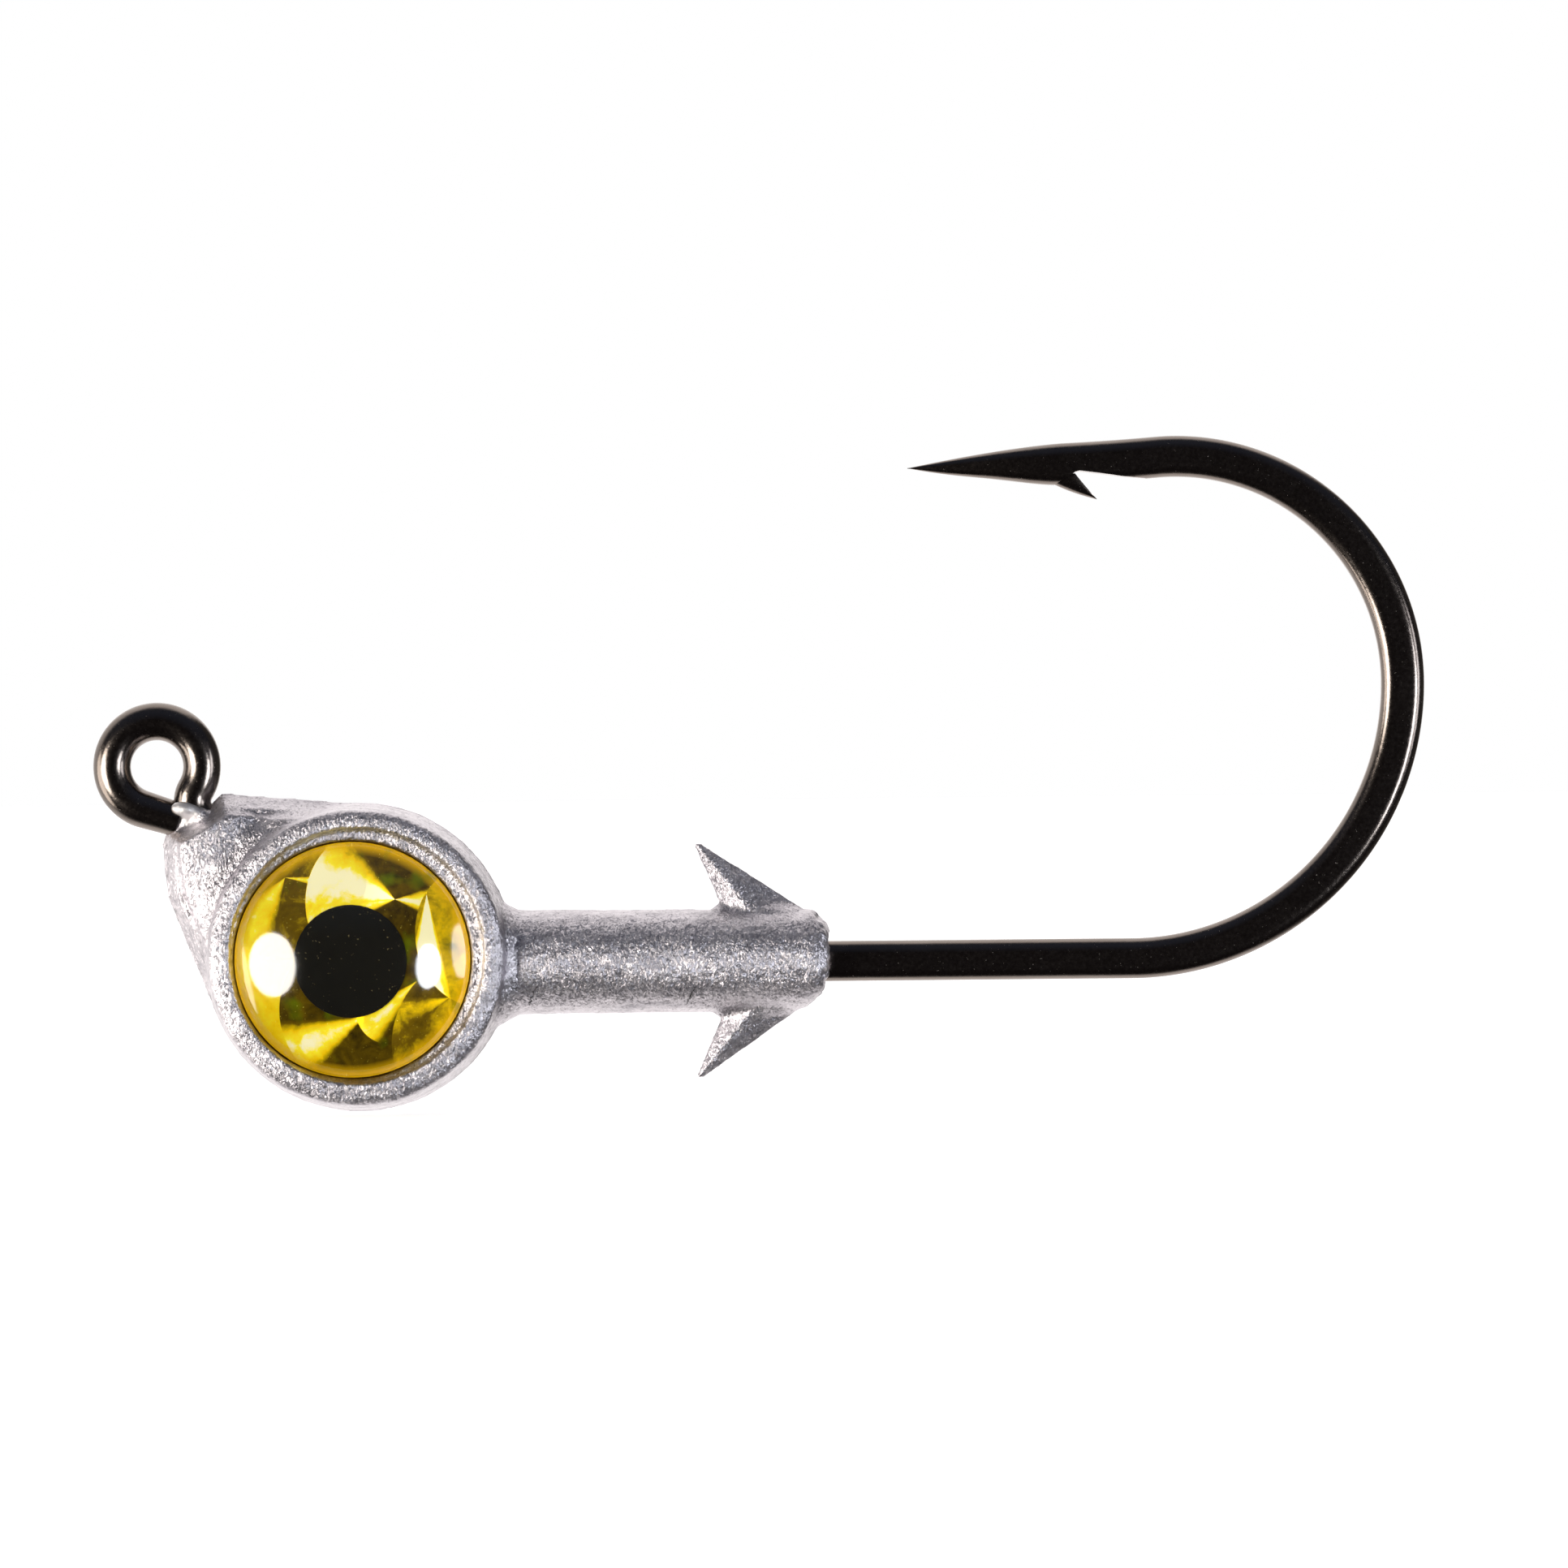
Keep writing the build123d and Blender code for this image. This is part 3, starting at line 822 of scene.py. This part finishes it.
def clear_resin():
    """Clear resin with a faint yellow cast. Shadow rays pass, so that the foil below is lit."""
    material, n = new_material("clear_resin")
    where = n.place()
    smear = n.noise(where, 1.4, 3.0)
    n.surface(
        Base_Color=(1.0, 0.985, 0.93, 1),
        Roughness=n.remap(smear, 0.3, 0.7, 0.05, 0.09),
        Transmission_Weight=1.0,
        IOR=1.52,
        Coat_Weight=1.0,
        Coat_Roughness=0.08,
        Coat_IOR=1.65,
    )
    glass = n.tree.nodes["Principled BSDF"].outputs[0]
    clear = n.add("ShaderNodeBsdfTransparent").outputs[0]
    shadow_ray = n.add("ShaderNodeLightPath").outputs["Is Shadow Ray"]
    passed = n.add("ShaderNodeMixShader", {0: shadow_ray, 1: glass, 2: clear}).outputs[0]
    n.put(n.tree.nodes["Material Output"], "Surface", passed)
    return material


def holographic_foil(name, turn):
    """Yellow prismatic foil: overlapping round lens cells, each with fans of painted highlight about its
    centre, with painted glints and a faint painted glow.
    """
    material, n = new_material(name)
    where = n.place()
    low, high = (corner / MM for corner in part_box("left_eye_foil"))
    centre = (low + high) / 2
    spot = n.vector("MULTIPLY", n.vector("SUBTRACT", where, (centre.x, 0, centre.z)), (1, 0, 1))
    if turn:
        inputs = {"Vector": spot, "Axis": (0, 1, 0), "Angle": math.radians(turn)}
        spot = n.add("ShaderNodeVectorRotate", inputs, rotation_type="AXIS_ANGLE").outputs["Vector"]
    scratch = n.noise(spot, 1.1, 4.0, 0.6, 0.8)
    glint_noise = n.noise(spot, 14.0, 2.0)
    # How bright the painted highlights and painted shade of the lens facets are, from 0 to 1.
    light = FOIL_GROUND
    tilt = n.add("ShaderNodeCombineXYZ").outputs[0]
    for middle, radius, source, ground, wedges in FOIL_CELLS:
        reach = n.vector("DISTANCE", spot, (middle[0], 0, middle[1]))
        heading = n.vector("NORMALIZE", n.vector("SUBTRACT", spot, (source[0], 0, source[1])))
        fan = 0.0
        for angle, spread, strength in wedges:
            toward = (math.cos(math.radians(angle)), 0, math.sin(math.radians(angle)))
            facing = n.vector("DOT_PRODUCT", heading, toward)
            wedge = n.remap(facing, math.cos(math.radians(spread)), 1.0, 0.0, strength)
            fan = n.math("MAXIMUM", fan, wedge)
        inside = n.remap(reach, radius - 0.015, radius + 0.015, 1.0, 0.0)
        light = n.mix(inside, light, n.math("ADD", fan, ground))
        tilt = n.vector("ADD", tilt, n.vector("MULTIPLY", n.scaled(heading, FOIL_TILT), n.spread(inside)))
    light = n.math("ADD", light, n.remap(scratch, 0.3, 0.7, -0.13, 0.13))
    light = n.math("ADD", light, n.remap(n.noise(spot, 3.5, 5.0, 0.7), 0.3, 0.7, -0.05, 0.05))
    tones = n.add("ShaderNodeValToRGB", {"Fac": light})
    stops = tones.color_ramp.elements
    stops.remove(stops[1])
    stops[0].position = FOIL_TONES[0][0]
    stops[0].color = (*FOIL_TONES[0][1], 1)
    for position, tone in FOIL_TONES[1:]:
        stops.new(position).color = (*tone, 1)
    edge = n.remap(n.vector("LENGTH", spot), 3.85, 4.30, 0.0, 0.9)
    colour = n.blend(edge, tones.outputs["Color"], (0.72, 0.42, 0.0005, 1))
    patches = n.remap(n.noise(spot, 0.9, 2.0), 0.55, 0.70, 0.0, 0.7)
    green = n.math("MULTIPLY", patches, n.remap(light, 0.2, 0.6, 1.0, 0.0))
    colour = n.blend(green, colour, (0.10, 0.14, 0.0, 1))
    # Painted glints: small bright yellow specks, where facets would catch a lamp.
    painted_glints = n.remap(glint_noise, 0.70, 0.74, 0.0, 0.8)
    colour = n.blend(painted_glints, colour, (1.0, 0.85, 0.15, 1))
    normal = n.vector("NORMALIZE", n.vector("ADD", n.bump(scratch, 0.06, 0.05), tilt))
    # Painted light: the foil also glows with its own colour, which brightens it beyond what the lamps give.
    n.surface(
        Base_Color=colour,
        Metallic=0.6,
        Roughness=0.30,
        Specular_IOR_Level=0.1,
        Normal=normal,
        Emission_Color=colour,
        Emission_Strength=0.36,
    )
    return material


def pupil_ink():
    """Black printed ink with a few specks of the foil."""
    material, n = new_material("pupil_ink")
    where = n.place()
    speck = n.math("GREATER_THAN", n.noise(where, 9.0, 2.0), 0.72)
    colour = n.blend(speck, (0.004, 0.004, 0.003, 1), (0.08, 0.07, 0.03, 1))
    n.surface(
        Base_Color=colour,
        Roughness=n.remap(n.noise(where, 4.0), 0.3, 0.7, 0.45, 0.6),
        Specular_IOR_Level=0.05,
    )
    return material


def tape():
    """Pale adhesive tape, cloudy, with a slightly uneven surface."""
    material, n = new_material("adhesive_tape")
    where = n.place()
    colour = n.blend(n.noise(where, 5.0, 3.0), (0.62, 0.60, 0.55, 1), (0.80, 0.78, 0.72, 1))
    n.surface(Base_Color=colour, Roughness=0.5, Normal=n.bump(n.noise(where, 10.0), 0.2, 0.02))
    return material


# ---------------------------------------------------------------- stage, lights and camera

CAMERA_DISTANCE = 310.0
PICTURE_WIDTH = 60.28
PICTURE_CENTRE = (24.095, -0.898)
ROLL = 0.54
SENSOR = 36.0

# Soft panels: the name, azimuth, elevation, distance, width, height, radiance and colour of each
SOFTBOXES = [
    ("left_softbox", -53, -4, 400, 215, 235, 8.4, (1.0, 0.95, 0.88)),
    ("left_wing", -84, -12, 400, 220, 380, 2.9, (1.0, 0.93, 0.85)),
    ("right_softbox", 43, -6, 400, 115, 180, 9.0, (0.90, 0.94, 1.0)),
    ("right_wing", 66, 2, 400, 105, 200, 3.6, (0.90, 0.93, 1.0)),
]

# The floor: how far under the lure it lies, in millimetres, and half its side, in metres
FLOOR_GAP = 0.02
FLOOR_HALF = 6.0


def add_camera():
    """A long lens square to the lure's left side, turned by ROLL degrees about its own axis."""
    data = bpy.data.cameras.new("camera")
    data.sensor_width = SENSOR
    data.lens = SENSOR * CAMERA_DISTANCE / PICTURE_WIDTH
    data.clip_start, data.clip_end = 0.01, 50
    camera = bpy.data.objects.new("camera", data)
    bpy.context.scene.collection.objects.link(camera)
    roll = math.radians(ROLL)
    right = Vector((math.cos(roll), 0, -math.sin(roll)))
    up = Vector((math.sin(roll), 0, math.cos(roll)))
    back = Vector((0, -1, 0))
    turn = Matrix((right, up, back)).transposed().to_4x4()
    place = Vector((PICTURE_CENTRE[0], -CAMERA_DISTANCE, PICTURE_CENTRE[1])) * MM
    camera.matrix_world = Matrix.Translation(place) @ turn
    bpy.context.scene.camera = camera


def add_softbox(name, azimuth, elevation, distance, width, height, radiance, colour):
    """A soft panel that faces the object. Azimuth 0 is out from the left side, 90 is towards +X."""
    a, e = math.radians(azimuth), math.radians(elevation)
    outward = Vector((math.sin(a) * math.cos(e), -math.cos(a) * math.cos(e), math.sin(e)))
    centre = (cad_low + cad_high) / 2
    data = bpy.data.lights.new(name, "AREA")
    data.shape = "ELLIPSE"
    data.size, data.size_y = width * MM, height * MM
    data.energy = radiance * math.pi * data.size * data.size_y
    data.color = colour
    light = bpy.data.objects.new(name, data)
    light.location = centre + outward * distance * MM
    light.rotation_mode = "QUATERNION"
    light.rotation_quaternion = outward.to_track_quat("Z", "Y")
    light.visible_camera = False
    bpy.context.scene.collection.objects.link(light)


def add_surroundings():
    """What the metal mirrors: white behind the lure, dimmer behind the nose, dark past the bend and in front.
    The camera itself sees plain white."""
    world = bpy.data.worlds.new("studio")
    world.use_nodes = True
    n = Nodes(world.node_tree)
    n.tree.nodes.clear()
    direction = n.add("ShaderNodeTexCoord").outputs["Generated"]
    toward = n.add("ShaderNodeSeparateXYZ", {0: direction}).outputs
    upwards = n.remap(toward["Z"], 0.2, 0.8)
    ahead = n.blend(upwards, (0.015, 0.0125, 0.014, 1), (0.05, 0.06, 0.09, 1))
    before_nose = n.remap(toward["X"], -0.35, -0.6, kind="SMOOTHSTEP")
    panel = n.blend(before_nose, (1.42, 1.36, 1.33, 1), (1.08, 1.04, 1.01, 1))
    past_bend = n.remap(toward["X"], 0.35, 0.62, kind="SMOOTHSTEP")
    wall = n.blend(past_bend, panel, (0.08, 0.075, 0.07, 1))
    behind = n.remap(toward["Y"], -0.15, 0.35, kind="SMOOTHSTEP")
    mirrored = n.blend(behind, ahead, wall)
    camera_ray = n.add("ShaderNodeLightPath").outputs["Is Camera Ray"]
    seen = n.blend(camera_ray, mirrored, (1, 1, 1, 1))
    glow = n.add("ShaderNodeBackground", {"Color": seen, "Strength": 1.0}).outputs[0]
    n.add("ShaderNodeOutputWorld", {"Surface": glow})
    bpy.context.scene.world = world


def add_floor():
    """A wide pale floor just under the lure, which only the camera sees."""
    middle = (cad_low + cad_high) / 2
    z = cad_low.z - FLOOR_GAP * MM
    corners = []
    for side_x, side_y in ((-1, -1), (1, -1), (1, 1), (-1, 1)):
        corners.append((middle.x + side_x * FLOOR_HALF, middle.y + side_y * FLOOR_HALF, z))
    mesh = bpy.data.meshes.new("floor")
    mesh.from_pydata(corners, [], [(0, 1, 2, 3)])
    floor = bpy.data.objects.new("floor", mesh)
    bpy.context.scene.collection.objects.link(floor)
    material, n = new_material("pale_floor")
    n.surface(
        Base_Color=(0.9, 0.9, 0.9, 1),
        Roughness=0.9,
        Emission_Color=(1, 1, 1, 1),
        Emission_Strength=0.75,
    )
    mesh.materials.append(material)
    floor.visible_diffuse = False
    floor.visible_glossy = False
    floor.visible_transmission = False
    floor.visible_shadow = False


# ---------------------------------------------------------------- assembly


def assemble():
    """Every piece of the lure, then the camera, the lights and the floor."""
    hook_piece(black_nickel())
    head_piece(bright_lead())
    resin, ink, film = clear_resin(), pupil_ink(), tape()
    for side, name, turn in ((LEFT, "left", 0), (RIGHT, "right", RIGHT_FOIL_TURN)):
        foil = holographic_foil(f"{name}_foil", turn)
        dome_piece(side, name, resin)
        for part, material in (("foil", foil), ("pupil", ink), ("adhesive", film)):
            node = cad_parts[f"{name}_eye_{part}"]
            node.data.materials.clear()
            node.data.materials.append(material)
    add_camera()
    add_surroundings()
    for softbox in SOFTBOXES:
        add_softbox(*softbox)
    add_floor()
    bpy.context.scene.view_settings.view_transform = "Standard"


assemble()
